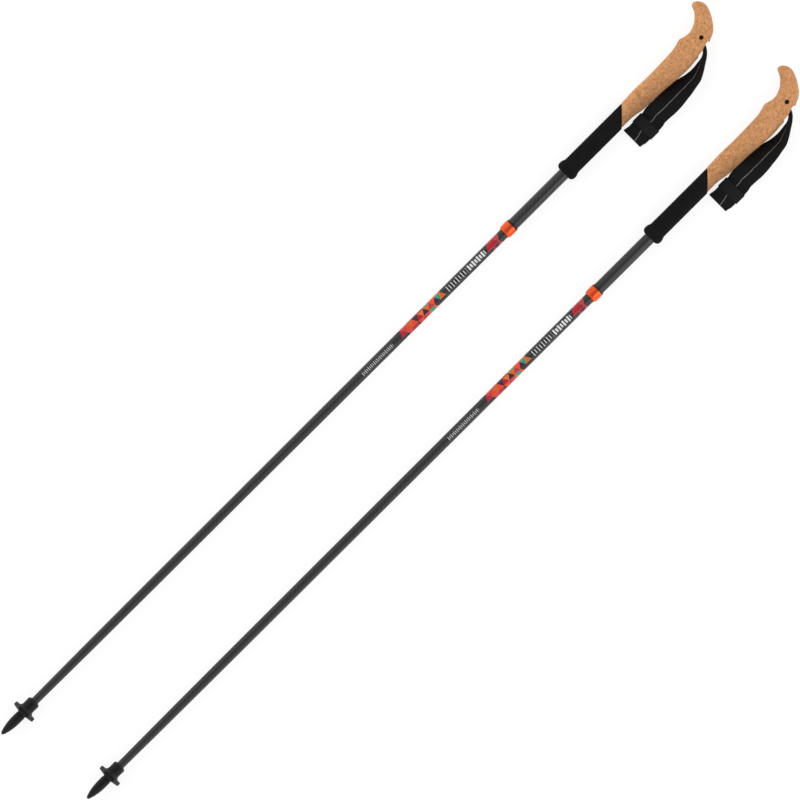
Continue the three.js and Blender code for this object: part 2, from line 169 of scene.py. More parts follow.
def add_world():
    shader = Shader("studio", bpy.data.worlds, "Background")
    _, y, height = shader.split(shader.node("ShaderNodeTexCoord").outputs["Generated"])
    brightest = max(radiance for _, radiance in SKY)
    stops = [(place, [radiance / brightest] * 3) for place, radiance in SKY]
    shader.feed("Color", shader.ramp(height, stops))
    boost = shader.math("MULTIPLY_ADD", y, -PALM_SIDE_BOOST, 1.0)
    shader.feed("Strength", shader.times(boost, brightest))
    bpy.context.scene.world = shader.material
    bpy.context.scene.view_settings.view_transform = "Standard"


# ---- shader building --------------------------------------------------------


class Shader:
    """A material or a world, and short names for adding nodes to it."""

    def __init__(self, name, library=bpy.data.materials, surface="Principled BSDF"):
        self.material = library.new(name)
        self.material.use_nodes = True
        self.tree = self.material.node_tree
        self.surface = self.tree.nodes[surface]

    def set(self, **values):
        """Sets constants on the surface shader's own sockets."""
        for key, value in values.items():
            socket = self.surface.inputs[key.replace("_", " ")]
            if isinstance(value, tuple):
                value = (*value, 1)
            socket.default_value = value

    def feed(self, socket, output):
        self.tree.links.new(output, self.surface.inputs[socket])

    def node(self, kind, **settings):
        node = self.tree.nodes.new(kind)
        for key, value in settings.items():
            setattr(node, key, value)
        return node

    def plug(self, socket, value):
        """Links an output to an input socket, or sets the input to a constant."""
        if isinstance(value, bpy.types.NodeSocket):
            self.tree.links.new(value, socket)
        elif isinstance(value, tuple) and socket.type == "RGBA":
            socket.default_value = (*value, 1)
        else:
            socket.default_value = value

    def math(self, operation, *values):
        node = self.node("ShaderNodeMath", operation=operation)
        for socket, value in zip(node.inputs, values):
            self.plug(socket, value)
        return node.outputs[0]

    def add(self, a, b):
        return self.math("ADD", a, b)

    def times(self, a, b):
        return self.math("MULTIPLY", a, b)

    def weigh(self, a, share_a, b, share_b):
        """The sum of two values, each times its share."""
        return self.add(self.times(a, share_a), self.times(b, share_b))

    def remap(self, value, low, high, to_low=0.0, to_high=1.0):
        """value from low..high, held inside it, to to_low..to_high, with eased ends."""
        node = self.node("ShaderNodeMapRange", interpolation_type="SMOOTHSTEP")
        for socket, entry in zip(node.inputs, (value, low, high, to_low, to_high)):
            self.plug(socket, entry)
        return node.outputs[0]

    def object_mm(self, stretch=(1, 1, 1)):
        """Object coordinates in millimetres, each axis divided by its stretch."""
        mapping = self.node("ShaderNodeMapping")
        mapping.inputs["Scale"].default_value = [1 / (MM * s) for s in stretch]
        self.plug(mapping.inputs["Vector"], self.node("ShaderNodeTexCoord").outputs["Object"])
        return mapping.outputs["Vector"]

    def uv_mm(self):
        """The two surface coordinates in millimetres: along the part and round or across it."""
        u, v, _ = self.split(self.node("ShaderNodeUVMap", uv_map="surface").outputs["UV"])
        return self.times(u, 1 / MM), self.times(v, 1 / MM)

    def split(self, value, kind="XYZ"):
        """The three parts of a vector, or of a colour with kind "Color"."""
        node = self.node("ShaderNodeSeparate" + kind)
        self.plug(node.inputs[0], value)
        return node.outputs

    def join(self, x, y, z=0.0):
        node = self.node("ShaderNodeCombineXYZ")
        for socket, value in zip(node.inputs, (x, y, z)):
            self.plug(socket, value)
        return node.outputs[0]

    def noise(self, vector, scale, detail=3.0, roughness=0.5):
        node = self.node("ShaderNodeTexNoise")
        self.plug(node.inputs["Vector"], vector)
        node.inputs["Scale"].default_value = scale
        node.inputs["Detail"].default_value = detail
        node.inputs["Roughness"].default_value = roughness
        return node.outputs["Fac"]

    def cells(self, vector, scale, feature="F1"):
        node = self.node("ShaderNodeTexVoronoi", feature=feature)
        self.plug(node.inputs["Vector"], vector)
        node.inputs["Scale"].default_value = scale
        return node

    def ramp(self, value, stops, interpolation="LINEAR"):
        node = self.node("ShaderNodeValToRGB")
        node.color_ramp.interpolation = interpolation
        elements = node.color_ramp.elements
        while len(elements) < len(stops):
            elements.new(1.0)
        for element, (place, colour) in zip(elements, stops):
            element.position = place
            element.color = (*colour, 1)
        self.plug(node.inputs[0], value)
        return node.outputs["Color"]

    def mix(self, factor, a, b, blend="MIX"):
        node = self.node("ShaderNodeMix", data_type="RGBA", blend_type=blend)
        self.plug(node.inputs[0], factor)
        self.plug(node.inputs[6], a)
        self.plug(node.inputs[7], b)
        return node.outputs[2]

    def shade(self, colour, value):
        """colour made darker or lighter by a factor that changes over the surface."""
        return self.mix(1.0, colour, self.join(value, value, value), "MULTIPLY")

    def bump(self, height_mm, strength, below=None):
        """Relief from a height given in millimetres, on top of an earlier relief."""
        node = self.node("ShaderNodeBump")
        node.inputs["Strength"].default_value = strength
        node.inputs["Distance"].default_value = MM
        self.plug(node.inputs["Height"], height_mm)
        if below is not None:
            self.plug(node.inputs["Normal"], below)
        self.feed("Normal", node.outputs[0])
        return node.outputs[0]


# ---- materials --------------------------------------------------------------

CARBON_DARK = (0.014, 0.014, 0.015)
CARBON_LIGHT = (0.030, 0.030, 0.031)
TOW = 1.8


def carbon_weave(shader, along, around):
    """A fine 2x2 twill under satin lacquer: returns its colour and how far each tow stands up."""
    i = shader.math("FLOOR", shader.times(along, 1 / TOW))
    j = shader.math("FLOOR", shader.times(around, 1 / TOW))
    step = shader.math("FLOORED_MODULO", shader.add(i, j), 4.0)
    over = shader.math("LESS_THAN", step, 1.5)
    across_tow = shader.mix(over, shader.join(along, 0.0), shader.join(around, 0.0))
    place = shader.math("PINGPONG", shader.times(shader.split(across_tow)[0], 1 / TOW), 0.5)
    crown = shader.math("POWER", shader.times(place, 2.0), 0.5)
    fibres = shader.noise(shader.join(shader.times(along, 0.12), around), 3.0, 2.0)
    tone = shader.weigh(over, 0.35, fibres, 0.6)
    colour = shader.ramp(tone, [(0.1, CARBON_DARK), (0.9, CARBON_LIGHT)])
    return colour, crown


def finish_carbon(shader, colour, crown, along, around):
    """Satin lacquer with faint wrap marks from the tape that the tube was cured in."""
    wrap = shader.add(along, shader.times(around, 0.08))
    marks = shader.math("PINGPONG", wrap, 1.6)
    smudges = shader.noise(shader.object_mm((60, 12, 12)), 1.0, 4.0)
    shader.feed("Base Color", colour)
    shader.feed("Roughness", shader.remap(smudges, 0.3, 0.7, 0.27, 0.36))
    shader.bump(shader.weigh(crown, 0.004, marks, 0.003), 0.5)
    shader.set(Specular_IOR_Level=0.36, Coat_Weight=0.15, Coat_Roughness=0.2)
    return shader.material


def carbon_upper():
    shader = Shader("satin carbon, upper tube")
    along, around = shader.uv_mm()
    colour, crown = carbon_weave(shader, along, around)
    return finish_carbon(shader, colour, crown, along, around)


PRINTED_TUBE_R = 7.0
TRIANGLE_ROWS = 5
TRIANGLE_HEIGHT = 2 * math.pi * PRINTED_TUBE_R / TRIANGLE_ROWS
TRIANGLE_SIDE = TRIANGLE_HEIGHT * 2 / math.sqrt(3)
ROW_SHIFT = -2.6
ORANGE_RED, CRIMSON, ROSE = (0.82, 0.060, 0.012), (0.44, 0.007, 0.024), (0.50, 0.050, 0.055)
GREEN, ORANGE = (0.010, 0.320, 0.185), (0.70, 0.135, 0.010)
PLUM, BROWN = (0.040, 0.010, 0.036), (0.026, 0.010, 0.006)
BAND_PALETTE = [
    (0.00, ORANGE_RED), (0.26, CRIMSON), (0.44, BROWN), (0.56, ORANGE), (0.66, GREEN),
    (0.77, PLUM), (0.88, ROSE),
]
CUFF_PALETTE = [(0.00, ROSE), (0.30, CRIMSON), (0.52, PLUM), (0.78, BROWN)]
# The printed bands: (start, number of triangles along a row, palette, seed).
BANDS = [(732, 15, BAND_PALETTE, 11.0), (890, 5, CUFF_PALETTE, 8.0)]


def triangle_band(shader, colour, along, around, start, count, palette, seed):
    """Paints a ragged band of coloured triangles over colour, in rows that run along the tube."""
    b = shader.times(shader.add(around, ROW_SHIFT), 1 / TRIANGLE_HEIGHT)
    a = shader.weigh(shader.add(along, -start), 1 / TRIANGLE_SIDE, b, -0.5)
    row = shader.math("FLOOR", b)
    column = shader.math("FLOOR", a)
    in_row = shader.math("FRACT", b)
    flipped = shader.math("GREATER_THAN", shader.add(shader.math("FRACT", a), in_row), 1.0)
    order = shader.add(shader.add(shader.times(column, 2.0), flipped), row)
    noise = shader.node("ShaderNodeTexWhiteNoise", noise_dimensions="4D")
    shader.plug(noise.inputs["Vector"], shader.join(column, row, flipped))
    noise.inputs["W"].default_value = seed
    paint = shader.ramp(noise.outputs["Value"], palette, "CONSTANT")
    _, tone, chance = shader.split(noise.outputs["Color"], "Color")
    grain = shader.noise(shader.join(along, around), 1.7, 3.0)
    fade = shader.add(shader.remap(grain, 0.2, 0.8, 0.80, 0.98), shader.times(in_row, 0.16))
    fade = shader.times(fade, shader.add(0.84, shader.times(tone, 0.24)))
    paint = shader.shade(paint, fade)
    from_end = shader.math("MINIMUM", order, shader.add(shader.times(order, -1.0), count - 1.0))
    share = shader.add(shader.times(from_end, 0.35), 0.55)
    printed = shader.times(shader.math("GREATER_THAN", from_end, -0.5),
                           shader.math("LESS_THAN", chance, share))
    return shader.mix(printed, colour, paint)


# The printed scales: (start, end, step, width of a tick, middle, half reach of a long tick).
SCALES = [
    (663.0, 717.5, 2.6, 0.75, 0.6, 2.6), (819.0, 854.0, 4.4, 1.0, -0.3, 4.2),
    (858.0, 887.5, 4.2, 2.5, -0.4, 4.0),
]
SCALE_WHITE = (0.72, 0.72, 0.72)


def tick_marks(shader, colour, along, around, start, end, step, width, middle, reach):
    """A plain printed scale of tick lines, every other one shorter."""
    place = shader.add(shader.times(shader.add(along, -start), 1 / step), 0.5)
    near = shader.times(shader.math("PINGPONG", place, 0.5), step)
    tick = shader.remap(near, (step - width) / 2 - 0.1, (step - width) / 2 + 0.1)
    odd = shader.math("FLOORED_MODULO", shader.math("FLOOR", place), 2.0)
    tick_end = shader.add(reach, shader.times(odd, -0.3 * reach))
    aside = shader.math("ABSOLUTE", shader.add(around, -middle))
    short = shader.math("LESS_THAN", aside, tick_end)
    inside = shader.times(shader.math("GREATER_THAN", along, start - width / 2),
                          shader.math("LESS_THAN", along, end))
    marks = shader.times(shader.times(tick, short), inside)
    return shader.mix(marks, colour, SCALE_WHITE)


def carbon_lower():
    shader = Shader("satin carbon with printed bands, lower tube")
    along, around = shader.uv_mm()
    colour, crown = carbon_weave(shader, along, around)
    for band in BANDS:
        colour = triangle_band(shader, colour, along, around, *band)
    for scale in SCALES:
        colour = tick_marks(shader, colour, along, around, *scale)
    return finish_carbon(shader, colour, crown, along, around)


COLLAR_LIP = 1.3


def orange_collar():
    shader = Shader("orange anodised aluminium")
    along, around = shader.uv_mm()
    turning = shader.noise(shader.join(shader.times(along, 14.0), shader.times(around, 0.05)), 1.0)
    wear = shader.noise(shader.object_mm((4, 4, 4)), 1.0, 4.0)
    colour = shader.ramp(wear, [(0.3, (0.78, 0.074, 0.006)), (0.7, (0.86, 0.098, 0.010))])
    start, end, _ = span("end_collar")
    # painted shade: the lips at both ends and the edge of each shoulder are coloured near black for
    # the shade at the collar's ends
    from_middle = shader.math("ABSOLUTE", shader.add(along, -(start + end) / 2))
    end_shade = shader.remap(from_middle, (end - start) / 2 - COLLAR_LIP - 0.4,
                       (end - start) / 2 - COLLAR_LIP + 0.1)
    colour = shader.mix(end_shade, colour, (0.030, 0.008, 0.003))
    shader.feed("Base Color", colour)
    shader.feed("Roughness", shader.remap(wear, 0.3, 0.7, 0.20, 0.30))
    shader.bump(shader.times(turning, 0.004), 0.5)
    shader.set(Metallic=0.7, Coat_Weight=0.25, Coat_Roughness=0.12)
    return shader.material


def moulded(name, dark, light, rough, specular):
    """Moulded plastic: a fine spark-eroded grain, slow changes of gloss and a few scuffs."""
    shader = Shader(name)
    place = shader.object_mm()
    grain = shader.noise(place, 3.2, 4.0, 0.6)
    slow = shader.noise(place, 0.12, 3.0)
    scuffs = shader.noise(shader.object_mm((5, 0.6, 0.6)), 0.8, 5.0, 0.7)
    scuffed = shader.remap(scuffs, 0.60, 0.72)
    tone = shader.weigh(grain, 0.6, scuffed, 0.35)
    shader.feed("Base Color", shader.ramp(tone, [(0.2, dark), (0.8, light)]))
    shader.feed("Roughness", shader.remap(slow, 0.3, 0.7, rough - 0.07, rough + 0.07))
    shader.bump(shader.times(grain, 0.03), 0.6)
    shader.set(Specular_IOR_Level=specular)
    return shader.material


def black_plastic():
    dark, light = (0.012, 0.012, 0.013), (0.022, 0.022, 0.023)
    return moulded("black glass-filled plastic", dark, light, 0.5, 0.3)


def tip_plastic():
    dark, light = (0.003, 0.003, 0.0033), (0.010, 0.010, 0.0105)
    return moulded("black moulded plastic, tip and basket", dark, light, 0.42, 0.24)


def pin_plastic():
    dark, light = (0.003, 0.003, 0.003), (0.007, 0.007, 0.007)
    return moulded("black glossy plastic pin", dark, light, 0.4, 0.2)


def eva_foam():
    shader = Shader("EVA foam")
    place = shader.object_mm()
    small = shader.cells(place, 1.9)
    large = shader.cells(place, 0.9)
    pits = shader.remap(small.outputs["Distance"], 0.05, 0.42)
    open_cells = shader.remap(large.outputs["Distance"], 0.04, 0.16)
    slow = shader.noise(place, 0.09, 3.0)
    tone = shader.weigh(pits, 0.5, slow, 0.7)
    colour = shader.ramp(tone, [(0.2, (0.0032, 0.0032, 0.0034)), (1.0, (0.0092, 0.0092, 0.0096))])
    shader.feed("Base Color", colour)
    relief = shader.bump(shader.times(pits, 0.10), 0.7)
    shader.bump(shader.times(open_cells, 0.16), 0.5, relief)
    shader.set(Roughness=0.93, Specular_IOR_Level=0.08)
    return shader.material


CORK_GRANULE = 2.5
CORK_TONES = [
    (0.00, (0.310, 0.126, 0.044)), (0.20, (0.450, 0.205, 0.082)), (0.45, (0.545, 0.264, 0.108)),
    (0.65, (0.620, 0.322, 0.146)), (0.82, (0.540, 0.218, 0.082)), (1.00, (0.720, 0.430, 0.222)),
]


def handled(shader):
    """Painted shade on the cork: much darker on the palm side near the foam, and a little lighter
    on the hook side than on the palm side further up.
    """
    along, side = shader.uv_mm()
    near_foam_share = shader.remap(along, 1160, 1245, 1.0, 0.0)
    palm = shader.remap(side, -14, 11, 0.52, 1.12)
    elsewhere = shader.remap(side, -16, 10, 0.99, 1.05)
    away_from_foam_share = shader.add(1.0, shader.times(near_foam_share, -1.0))
    return shader.weigh(palm, near_foam_share, elsewhere, away_from_foam_share)


def cork():
    shader = Shader("granulated cork")
    place = shader.object_mm()
    wobble = shader.noise(place, 0.9, 2.0)
    warped = shader.node("ShaderNodeVectorMath", operation="ADD")
    shader.plug(warped.inputs[0], place)
    shader.plug(warped.inputs[1], shader.join(wobble, wobble, wobble))
    bent = warped.outputs[0]
    granules = shader.cells(bent, 1 / CORK_GRANULE)
    crumbs = shader.cells(bent, 2.2 / CORK_GRANULE)
    seams = shader.cells(bent, 1 / CORK_GRANULE, "DISTANCE_TO_EDGE")
    coarse = shader.split(granules.outputs["Color"], "Color")[0]
    fine = shader.split(crumbs.outputs["Color"], "Color")[0]
    tone = shader.weigh(coarse, 0.6, fine, 0.4)
    colour = shader.ramp(tone, CORK_TONES)
    grain = shader.noise(bent, 3.4, 4.0, 0.65)
    colour = shader.shade(colour, shader.remap(grain, 0.2, 0.8, 0.82, 1.20))
    patches = shader.noise(place, 0.15, 3.0, 0.6)
    colour = shader.shade(colour, shader.remap(patches, 0.34, 0.66, 0.94, 1.10))
    reddish = shader.remap(shader.noise(place, 0.21, 2.0), 0.45, 0.7, 0.0, 0.28)
    colour = shader.mix(reddish, colour, (0.58, 0.225, 0.086))
    # painted shade: the cork's palm side darker near the foam, its hook side a little lighter
    colour = shader.shade(colour, handled(shader))
    binder = shader.remap(seams.outputs["Distance"], 0.0, 0.075, 0.78, 1.0)
    colour = shader.shade(colour, binder)
    specks = shader.cells(bent, 0.62)
    size = shader.split(specks.outputs["Color"], "Color")[1]
    reach = shader.remap(size, 0.45, 1.0, 0.0, 0.26)
    pore = shader.math("LESS_THAN", specks.outputs["Distance"], reach)
    colour = shader.mix(shader.times(pore, 0.5), colour, (0.18, 0.065, 0.02))
    shader.feed("Base Color", colour)
    shader.feed("Roughness", shader.remap(grain, 0.2, 0.8, 0.62, 0.82))
    relief = shader.bump(shader.times(binder, 0.22), 0.6)
    relief = shader.bump(shader.times(pore, -0.30), 0.6, relief)
    shader.bump(shader.times(grain, 0.09), 0.6, relief)
    shader.set(Specular_IOR_Level=0.22)
    return shader.material


PICK = 1.15
END = 0.85
LINE_WIDTH = 1.15
STITCH = 3.4


def woven(shader, along, across, dark, light):
    """Plain-woven flat webbing: returns its colour and the height of its threads."""
    i = shader.times(along, 1 / PICK)
    j = shader.times(across, 1 / END)
    parity = shader.math("FLOORED_MODULO", shader.add(shader.math("FLOOR", i),
                                                      shader.math("FLOOR", j)), 2.0)
    hump_i = shader.math("SINE", shader.times(shader.math("FRACT", i), math.pi))
    hump_j = shader.math("SINE", shader.times(shader.math("FRACT", j), math.pi))
    crown = shader.times(hump_i, hump_j)
    height = shader.times(crown, shader.add(0.55, shader.times(parity, 0.45)))
    fluff = shader.noise(shader.join(along, across), 2.4, 4.0, 0.7)
    tone = shader.weigh(height, 0.65, fluff, 0.35)
    return shader.ramp(tone, [(0.1, dark), (0.9, light)]), height


def webbing():
    shader = Shader("black woven webbing with a grey thread")
    along, across = shader.uv_mm()
    colour, height = woven(shader, along, across, (0.0024, 0.0024, 0.0025),
                           (0.0125, 0.0125, 0.0128))
    aside = shader.math("ABSOLUTE", across)
    line = shader.remap(aside, LINE_WIDTH / 2 - 0.15, LINE_WIDTH / 2 + 0.1, 1.0, 0.0)
    dash = shader.math("FRACT", shader.times(along, 1 / STITCH))
    stitched = shader.times(line, shader.remap(dash, 0.10, 0.20, 0.25, 1.0))
    patchy = shader.noise(shader.join(shader.times(along, 0.12), across), 1.0, 3.0)
    stitched = shader.times(stitched, shader.remap(patchy, 0.3, 0.7, 0.55, 1.0))
    colour = shader.mix(stitched, colour, (0.23, 0.23, 0.235))
    shader.feed("Base Color", colour)
    relief = shader.bump(shader.times(height, 0.16), 0.8)
    shader.bump(shader.times(stitched, 0.25), 0.7, relief)
    shader.set(Roughness=0.8, Specular_IOR_Level=0.16)
    return shader.material


def keeper_webbing():
    shader = Shader("black ribbed elastic, keeper")
    along, across = shader.uv_mm()
    colour, height = woven(shader, across, along, (0.0034, 0.0034, 0.0035),
                           (0.0135, 0.0135, 0.0138))
    ribs = shader.math("PINGPONG", along, 0.9)
    shader.feed("Base Color", colour)
    relief = shader.bump(shader.times(ribs, 0.22), 0.7)
    shader.bump(shader.times(height, 0.08), 0.6, relief)
    shader.set(Roughness=0.72, Specular_IOR_Level=0.2)
    return shader.material


def turned_steel(name, dark, light, rough):
    """Metal with the fine rings that a lathe leaves, and a little tarnish."""
    shader = Shader(name)
    rings = shader.noise(shader.object_mm((0.12, 9, 9)), 1.0, 3.0)
    tarnish = shader.noise(shader.object_mm(), 0.35, 4.0, 0.6)
    tone = shader.weigh(rings, 0.4, tarnish, 0.6)
    shader.feed("Base Color", shader.ramp(tone, [(0.25, dark), (0.75, light)]))
    shader.feed("Roughness", shader.remap(tarnish, 0.3, 0.7, rough - 0.08, rough + 0.1))
    shader.bump(shader.times(rings, 0.012), 0.6)
    shader.set(Metallic=1.0)
    return shader.material


def lock_steel():
    return turned_steel("plated steel", (0.36, 0.36, 0.37), (0.58, 0.58, 0.57), 0.32)


def carbide():
    return turned_steel("sintered hard metal", (0.020, 0.020, 0.020), (0.050, 0.050, 0.050), 0.48)


MATERIALS = {make.__name__: make() for make in (
    carbon_upper, orange_collar, black_plastic, eva_foam, cork, pin_plastic, webbing,
    keeper_webbing, carbon_lower, lock_steel, tip_plastic, carbide)}


# ---- mesh building ----------------------------------------------------------

WELD_DISTANCE = 1e-7
FILLET_STEPS = 5


def rounded(profile, closed):
    """A profile of (along, radius, fillet) corners as plain points, each fillet an arc."""
    count = len(profile)
    points = []
    for i, (along, radius, fillet) in enumerate(profile):
        corner = Vector((along, radius))
        if fillet == 0 or (not closed and i in (0, count - 1)):
            points.append(corner)
            continue
        back = Vector(profile[i - 1][:2]) - corner
        on = Vector(profile[(i + 1) % count][:2]) - corner
        start = corner + back.normalized() * min(fillet, back.length * 0.49)
        end = corner + on.normalized() * min(fillet, on.length * 0.49)
        for t in np.arange(FILLET_STEPS + 1) / FILLET_STEPS:
            points.append(start * (1 - t) ** 2 + corner * 2 * t * (1 - t) + end * t ** 2)
    return np.array(points)


def quad_corners(bands, sides):
    """The row and the column of each corner of a skin's faces, not yet wrapped round."""
    i, j = (grid.ravel() for grid in np.indices((bands, sides)))
    return np.stack([i, i, i + 1, i + 1], 1), np.stack([j, j + 1, j + 1, j], 1)


def make_mesh(rows, uv_rows, uv_columns, loop):
    """A closed skin over rows of points (rows x columns x 3, millimetres), with a UV map.

    Columns always run round. With loop the last row joins the first one; without it the first
    and last rows are points on an axis, which close the skin. uv_columns has a value for each
    column and the wrap, or for each point.
    """
    count, sides = rows.shape[:2]
    i, j = quad_corners(count if loop else count - 1, sides)
    mesh = bpy.data.meshes.new("mesh")
    quads = i % count * sides + j % sides
    mesh.from_pydata(rows.reshape(-1, 3) * MM, [], quads.tolist())
    columns = uv_columns[j] if uv_columns.ndim == 1 else uv_columns[i % count, j % sides]
    uv = np.stack([uv_rows[i], columns], -1) * MM
    layer = mesh.uv_layers.new(name="surface")
    layer.data.foreach_set("uv", uv.astype(np.float32).ravel())
    return mesh


def clean(mesh):
    """Welds points that coincide, turns every face outwards and smooths all but sharp edges."""
    work = bmesh.new()
    work.from_mesh(mesh)
    bmesh.ops.remove_doubles(work, verts=work.verts, dist=WELD_DISTANCE)
    bmesh.ops.recalc_face_normals(work, faces=work.faces)
    work.to_mesh(mesh)
    work.free()
    mesh.shade_smooth()
    mesh.set_sharp_from_angle(angle=SMOOTH_ANGLE)
    return mesh


def lengths(points):
    """How far along a closed line each of its points is, with the whole length as the last."""
    steps = np.diff(np.vstack([points, points[:1]]), axis=0)
    return np.concatenate([[0], np.cumsum(np.linalg.norm(steps, axis=1))])


def turned(profile, sides=ROUND, reach=None):
    """A round body. profile is (along, radius, fillet) corners: either it starts and ends on the
    axis, or it goes out along the outside and back along the bore and closes on itself.

    reach(along, radius, angle) may move a point along the pole or change its radius.
    """
    closed = profile[0][1] > 0
    points = rounded(profile, closed)
    angles = np.linspace(-math.pi, math.pi, sides, endpoint=False)
    along = np.repeat(points[:, :1], sides, 1)
    radius = np.repeat(points[:, 1:], sides, 1)
    if reach:
        along, radius = reach(along, radius, angles[None, :])
    rows = np.stack([along, -radius * np.sin(angles), radius * np.cos(angles)], -1)
    uv_rows = points[0, 0] + lengths(points)
    uv_columns = np.linspace(-math.pi, math.pi, sides + 1) * points[:, 1].max()
    return clean(make_mesh(rows, uv_rows, uv_columns, closed))


def cylinder(start, end, radius, sides):
    return turned([(start, 0, 0), (start, radius, 0), (end, radius, 0), (end, 0, 0)], sides)


def place(part, mesh):
    """Puts one copy of a mesh on each pole, in place of the part's CAD node."""
    for pole in POLES:
        copy = mesh.copy()
        copy.name = f"{part}_{pole}"
        copy.transform(Matrix.Translation(ORIGIN[pole]))
        piece = add_object(copy.name, copy)
        node = f"{pole}_{part}"
        copy.materials.clear()
        copy.materials.append(MATERIALS[SLOT_OF[node]])
        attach(piece, BODY_OF[node])
        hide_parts(node)
    bpy.data.meshes.remove(mesh)


def smooth_row(table, place_along):
    """Smooth values between the rows of a table whose first column only rises."""
    i = next((k for k, row in enumerate(table) if row[0] > place_along), len(table) - 1)
    i = max(1, i)
    before, start, end, after = (np.array(table[k], float) for k in (
        max(0, i - 2), i - 1, i, min(len(table) - 1, i + 1)))
    length = end[0] - start[0]
    t = (place_along - start[0]) / length
    slope_in = (end - before) / (end[0] - before[0]) * length
    slope_out = (after - start) / (after[0] - start[0]) * length
    return ((2 * t ** 3 - 3 * t ** 2 + 1) * start + (t ** 3 - 2 * t ** 2 + t) * slope_in
            + (3 * t ** 2 - 2 * t ** 3) * end + (t ** 3 - t ** 2) * slope_out)


def cut(mesh, cutters):
    """mesh minus the cutters, which are closed meshes."""
    target = add_object("cut_target", mesh)
    tools = [add_object("cutter", cutter) for cutter in cutters]
    for tool in tools:
        modifier = target.modifiers.new("cut", "BOOLEAN")
        modifier.operation = "DIFFERENCE"
        modifier.solver = "EXACT"
        modifier.object = tool
    view = bpy.context.evaluated_depsgraph_get()
    result = bpy.data.meshes.new_from_object(target.evaluated_get(view))
    for item in [target, *tools]:
        bpy.data.meshes.remove(item.data)
    return clean(result)


# ---- lower section ----------------------------------------------------------

LOWER_WALL = 0.9
TAPER = [
    (32, 5.25), (70, 5.4), (122, 5.8), (174, 6.07), (278, 6.35), (434, 6.48), (590, 6.74),
    (720, 6.88), (850, 7.0), (1000, 7.0),
]


def lower_tube():
    profile = [(along, radius, 0.1) for along, radius in TAPER]
    inner = TAPER[-1][1] - LOWER_WALL
    profile += [(TAPER[-1][0], inner, 0.1), (TAPER[-2][0], inner, 0)]
    profile += [(TAPER[0][0], TAPER[0][1] - LOWER_WALL, 0.1)]
    return turned(profile)


def tip_ferrule():
    start, end, radius = span("tip_ferrule")
    shank_hole = 1.9
    socket = 5.7
    seat = 31.7
    groove = radius - 0.45
    profile = [
        (20, 0, 0), (20, shank_hole, 0), (start, shank_hole, 0.3), (start, 3.55, 0.5), (9, 4.6, 2),
        (14, 5.6, 3), (19, 6.2, 3), (24, radius, 3), (34.4, radius, 0.2),
        (34.8, groove, 0.2), (36.2, groove, 0.2), (36.6, radius, 0.2), (end - 1.2, radius, 0.8),
        (end, 6.05, 0.3), (end, socket, 0.15), (seat, socket, 0), (seat, 0, 0),
    ]
    return turned(profile)


def carbide_tip():
    start, end, _ = span("carbide_tip")
    back = 4.9
    profile = [
        (start + 0.9, 0, 0), (start + 0.7, 0.7, 0.3), (start, 1.15, 0.25), (1.2, 1.9, 0.6),
        (2.6, 2.65, 0.8), (4, 3.4, 0.4), (back, 3.5, 0.2), (back, 1.6, 0), (end, 1.6, 0.3),
        (end, 0, 0),
    ]
    return turned(profile)


BASKET_SIDES = 6
HUB_R = 8.7
DRAIN_R = 1.5
DRAIN_CIRCLE_R = 11.9


def hexagon(angle, flat):
    """How far a hexagon with slightly rounded corners reaches, its flats facing up and down."""
    turn = 2 * math.pi / BASKET_SIDES
    from_flat = np.abs(np.mod(angle + turn / 2, turn) - turn / 2)
    return flat / np.cos(from_flat)


def basket():
    start, end, flat = span("basket")
    bore = 6.83
    rim = 16.65

    def reach(along, radius, angle):
        share = np.clip((radius - HUB_R) / (rim - HUB_R), 0, 1)
        edge = np.minimum(hexagon(angle, flat), rim)
        return along, np.where(share > 0, HUB_R + share * (edge - HUB_R), radius)

    profile = [
        (end - 1.2, bore, 0.2), (start + 0.2, bore, 0.2), (start, 8.2, 0.4), (38.2, 13.8, 1.5),
        (38.7, 16, 0.6), (39.4, rim, 0.6), (43.4, rim, 0.7), (44.4, 15.6, 0.6), (43.4, 13.9, 0.8),
        (43.8, 11.6, 1), (46.4, 9.4, 1), (48.2, HUB_R, 1), (58.4, 8.9, 0.5), (end, 7.9, 0.4),
        (end, 7.2, 0.2),
    ]
    body = turned(profile, ROUND * 2, reach)
    holes = []
    for i in range(BASKET_SIDES):
        angle = (i + 0.5) * 2 * math.pi / BASKET_SIDES
        hole = cylinder(30, 55, DRAIN_R, 24)
        hole.transform(Matrix.Translation(Vector((
            0, DRAIN_CIRCLE_R * math.cos(angle), DRAIN_CIRCLE_R * math.sin(angle))) * MM))
        holes.append(hole)
    return cut(body, holes)


# ---- upper section ----------------------------------------------------------

UPPER_WALL = 0.7
TUBE_SOCKET_R = 8.3


def upper_tube():
    return ring("upper_tube", span("upper_tube")[2] - UPPER_WALL, 0.15)


def end_collar():
    start, end, radius = span("end_collar")
    mouth = 7.4
    inner = TUBE_SOCKET_R
    low, high = start + COLLAR_LIP, end - COLLAR_LIP
    shoulder = radius - 0.55
    profile = [
        (start, mouth, 0.2), (start, mouth + 0.7, 0.3), (low, mouth + 0.8, 0.1),
        (low, shoulder, 0.3), (low + 1.8, radius - 0.15, 1), ((low + high) / 2, radius, 2),
        (high - 1.8, radius - 0.15, 1), (high, shoulder, 0.3), (high, inner + 0.5, 0.1),
        (end, inner + 0.4, 0.2), (end, inner, 0.1), (start + 1.4, inner, 0),
        (start + 1.4, mouth, 0.1),
    ]
    return turned(profile)


# ---- twist lock and other pieces inside the tubes ---------------------------

STUD_R = 2.5
STUD_BORE = 2.8
THREAD_PITCH = 1.25
THREAD_DEPTH = 0.4


def ring(part, bore, edge=0.3):
    start, end, radius = span(part)
    profile = [(start, bore, 0.15), (start, radius, edge), (end, radius, edge), (end, bore, 0.15)]
    return turned(profile)


def guide_bush():
    return ring("guide_bush", 7.3)


def stop_ring():
    return ring("stop_ring", STUD_BORE)


